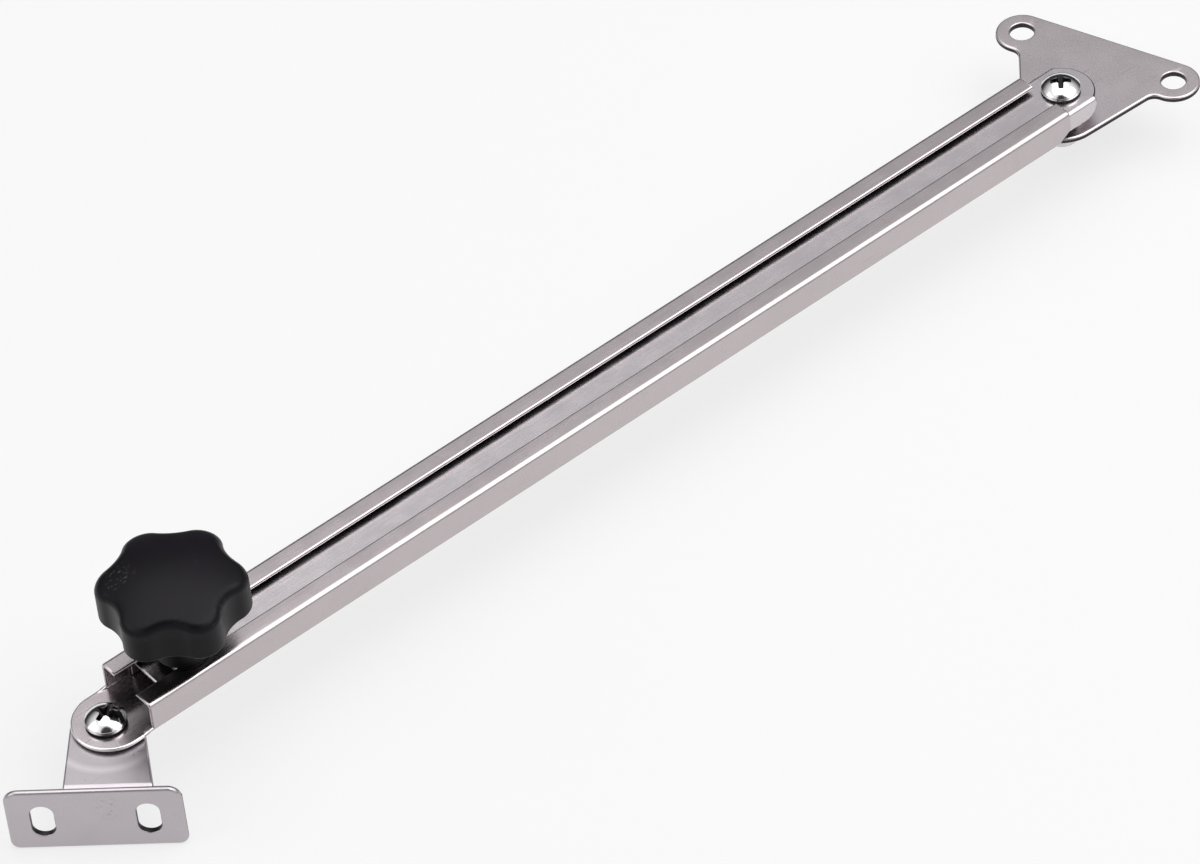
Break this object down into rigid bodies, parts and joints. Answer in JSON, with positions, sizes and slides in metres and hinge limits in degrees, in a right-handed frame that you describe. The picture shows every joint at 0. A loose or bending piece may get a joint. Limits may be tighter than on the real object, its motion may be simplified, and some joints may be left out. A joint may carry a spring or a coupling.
{
  "type": "folding stay",
  "caption": "Telescopic folding stay: a rail slides in a slotted channel, a lobed clamp knob locks it, and a slotted angle bracket and a drilled hinge plate pivot at its ends.",
  "frame": {"origin": "at the centre of the bracket's mounting face", "axes": "+X along the bar from the bracket to the hinge plate, +Z out of the channel's slot towards the knob"},
  "size_m": [0.3164, 0.0547, 0.0474],
  "materials": {
    "channel_steel": "satin stainless sheet, fine grain along the bar",
    "rail_steel": "satin stainless sheet, fine sparkle",
    "bracket_steel": "satin stainless sheet with tumbled edges",
    "plate_steel": "satin stainless sheet with tumbled edges",
    "screw_steel": "bright polished stainless",
    "fastener_steel": "plain turned stainless",
    "nylon": "natural nylon",
    "knob_plastic": "black moulded plastic with a fine spark-eroded grain"
  },
  "bodies": {
    "bracket": {"angle_bracket": "bracket_steel", "bracket_pivot_screw": "screw_steel", "bracket_slip_washer": "nylon", "bracket_nut_washer": "fastener_steel", "bracket_lock_nut": "fastener_steel", "bracket_nut_ring": "nylon"},
    "channel": {"outer_channel": "channel_steel", "end_stop_rivet": "fastener_steel"},
    "rail": {"inner_rail": "rail_steel", "clamp_nut": "fastener_steel", "spacer_bush": "fastener_steel", "plate_pivot_screw": "screw_steel", "plate_nut_washer": "fastener_steel", "plate_lock_nut": "fastener_steel", "plate_nut_ring": "nylon"},
    "knob": {"star_knob": "knob_plastic", "knob_stud": "fastener_steel", "clamp_washer": "knob_plastic"},
    "plate": {"hinge_plate": "plate_steel"}
  },
  "joints": [
    {"name": "bracket_pivot", "type": "hinge", "parent": "bracket", "child": "channel", "pos_m": [0.01291, 0.01169, 0.009], "axis": [0, 0, 1], "range_deg": [-41, 138]},
    {"name": "rail_slide", "type": "slide", "parent": "channel", "child": "rail", "axis": [1, 0, 0], "range_m": [0, 0.16]},
    {"name": "knob_turn", "type": "hinge", "parent": "rail", "child": "knob", "pos_m": [0.03321, 0.01169, 0.01735], "axis": [0, 0, 1], "range_deg": [0, 360]},
    {"name": "plate_pivot", "type": "hinge", "parent": "rail", "child": "plate", "pos_m": [0.27291, 0.01169, 0.0086], "axis": [0, 0, 1], "continuous": true}
  ]
}
